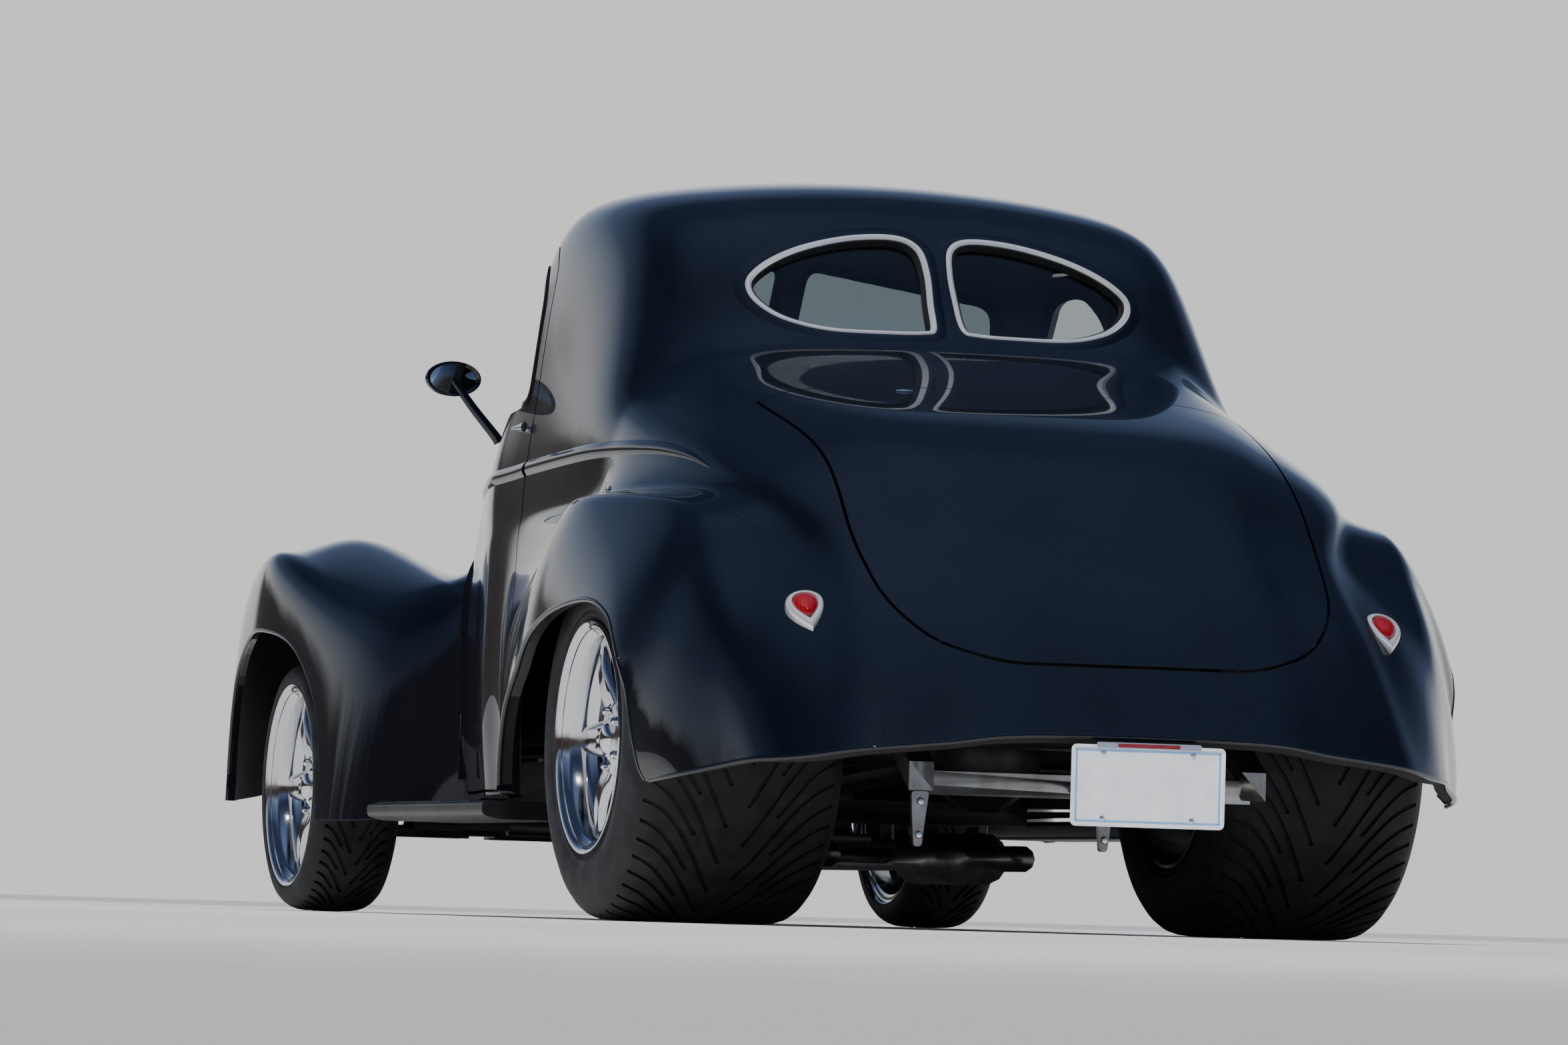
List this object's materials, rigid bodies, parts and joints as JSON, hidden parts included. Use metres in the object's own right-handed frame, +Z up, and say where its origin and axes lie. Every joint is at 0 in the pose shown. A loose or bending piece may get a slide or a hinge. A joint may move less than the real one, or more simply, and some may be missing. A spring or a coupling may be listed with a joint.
{
  "type": "hot rod coupe",
  "caption": "Chopped fat-fendered street rod coupe with a fastback tail, wide rear tyres, deep polished wheels, opening doors, hood and trunk.",
  "frame": {"origin": "on the ground under the middle of the car's bounding box", "axes": "+X towards the car's left side, -Y towards its nose, +Z up"},
  "size_m": [1.7964, 4.2793, 1.5829],
  "materials": {
    "black_paint": "gloss blue-black paint",
    "chrome": "bright chrome plate",
    "polished_aluminium": "polished",
    "tyre_rubber": "matt black rubber",
    "satin_black_chassis": "satin black paint",
    "bare_steel": "bare steel",
    "cast_iron": "painted casting",
    "tan_leather": "smooth hide",
    "black_trim": "matt black trim",
    "tinted_glass": "clear glass with a light tint",
    "red_lens": "clear red moulding",
    "white_plate": "white sheet metal"
  },
  "bodies": {
    "body": {"body_shell": "black_paint", "cowl": "black_paint", "roof": "black_paint", "dashboard": "black_trim", "engine": "cast_iron", "exhaust": "bare_steel", "fender_front_left": "black_paint", "fender_front_right": "black_paint", "fender_rear_left": "black_paint", "fender_rear_right": "black_paint", "floor_pan": "black_trim", "frame": "satin_black_chassis", "front_suspension": "satin_black_chassis", "fuel_tank": "satin_black_chassis", "grille_bars": "chrome", "headlight_left": "chrome", "headlight_right": "chrome", "nose_shell": "black_paint", "plate": "white_plate", "radiator": "polished_aluminium", "rear_axle": "satin_black_chassis", "rear_window_left": "tinted_glass", "rear_window_right": "tinted_glass", "running_board_left": "black_paint", "running_board_right": "black_paint", "seat": "tan_leather", "taillight_left": "red_lens", "taillight_right": "red_lens", "windshield_left": "tinted_glass", "windshield_right": "tinted_glass"},
    "door_left": {"door_left": "black_paint", "mirror_left": "black_paint"},
    "door_right": {"door_right": "black_paint", "mirror_right": "black_paint"},
    "trunk_lid": {"trunk_lid": "black_paint"},
    "hood": {"hood": "black_paint"},
    "steering_wheel": {"steering_wheel": "black_trim"},
    "knuckle_left": {"knuckle_left": "cast_iron"},
    "knuckle_right": {"knuckle_right": "cast_iron"},
    "wheel_front_left": {"rim_front_left": "polished_aluminium", "tyre_front_left": "tyre_rubber"},
    "wheel_front_right": {"rim_front_right": "polished_aluminium", "tyre_front_right": "tyre_rubber"},
    "wheel_rear_left": {"rim_rear_left": "polished_aluminium", "tyre_rear_left": "tyre_rubber"},
    "wheel_rear_right": {"rim_rear_right": "polished_aluminium", "tyre_rear_right": "tyre_rubber"}
  },
  "joints": [
    {"name": "door_left_hinge", "type": "hinge", "parent": "body", "child": "door_left", "pos_m": [0.658, -0.56, 0.35], "axis": [0.0698, 0, -0.9976], "range_deg": [0, 65]},
    {"name": "door_right_hinge", "type": "hinge", "parent": "body", "child": "door_right", "pos_m": [-0.658, -0.56, 0.35], "axis": [0.0698, 0, 0.9976], "range_deg": [0, 65]},
    {"name": "trunk_lid_hinge", "type": "hinge", "parent": "body", "child": "trunk_lid", "pos_m": [0, 1.1978, 1.092], "axis": [1, 0, 0], "range_deg": [0, 60]},
    {"name": "hood_hinge", "type": "hinge", "parent": "body", "child": "hood", "pos_m": [0, -0.624, 1], "axis": [-1, 0, 0], "range_deg": [0, 45]},
    {"name": "steer_left", "type": "hinge", "parent": "body", "child": "knuckle_left", "pos_m": [0.655, -1.39, 0.28554], "axis": [0, 0, 1], "range_deg": [-28, 28]},
    {"name": "steer_right", "type": "hinge", "parent": "body", "child": "knuckle_right", "pos_m": [-0.655, -1.39, 0.28554], "axis": [0, 0, 1], "range_deg": [-28, 28]},
    {"name": "steering_wheel_turn", "type": "hinge", "parent": "body", "child": "steering_wheel", "pos_m": [0.33, -0.06, 0.93], "axis": [0, 0.9465, 0.3227], "range_deg": [-336, 336]},
    {"name": "spin_front_left", "type": "hinge", "parent": "knuckle_left", "child": "wheel_front_left", "pos_m": [0.822, -1.39, 0.28554], "axis": [1, 0, 0], "continuous": true},
    {"name": "spin_front_right", "type": "hinge", "parent": "knuckle_right", "child": "wheel_front_right", "pos_m": [-0.822, -1.39, 0.28554], "axis": [1, 0, 0], "continuous": true},
    {"name": "spin_rear_left", "type": "hinge", "parent": "body", "child": "wheel_rear_left", "pos_m": [0.832, 1.15, 0.36089], "axis": [1, 0, 0], "continuous": true},
    {"name": "spin_rear_right", "type": "hinge", "parent": "body", "child": "wheel_rear_right", "pos_m": [-0.832, 1.15, 0.36089], "axis": [1, 0, 0], "continuous": true}
  ],
  "couplings": [
    {"joint": "steer_right", "follows": "steer_left", "ratio": 1},
    {"joint": "steering_wheel_turn", "follows": "steer_left", "ratio": -12}
  ]
}
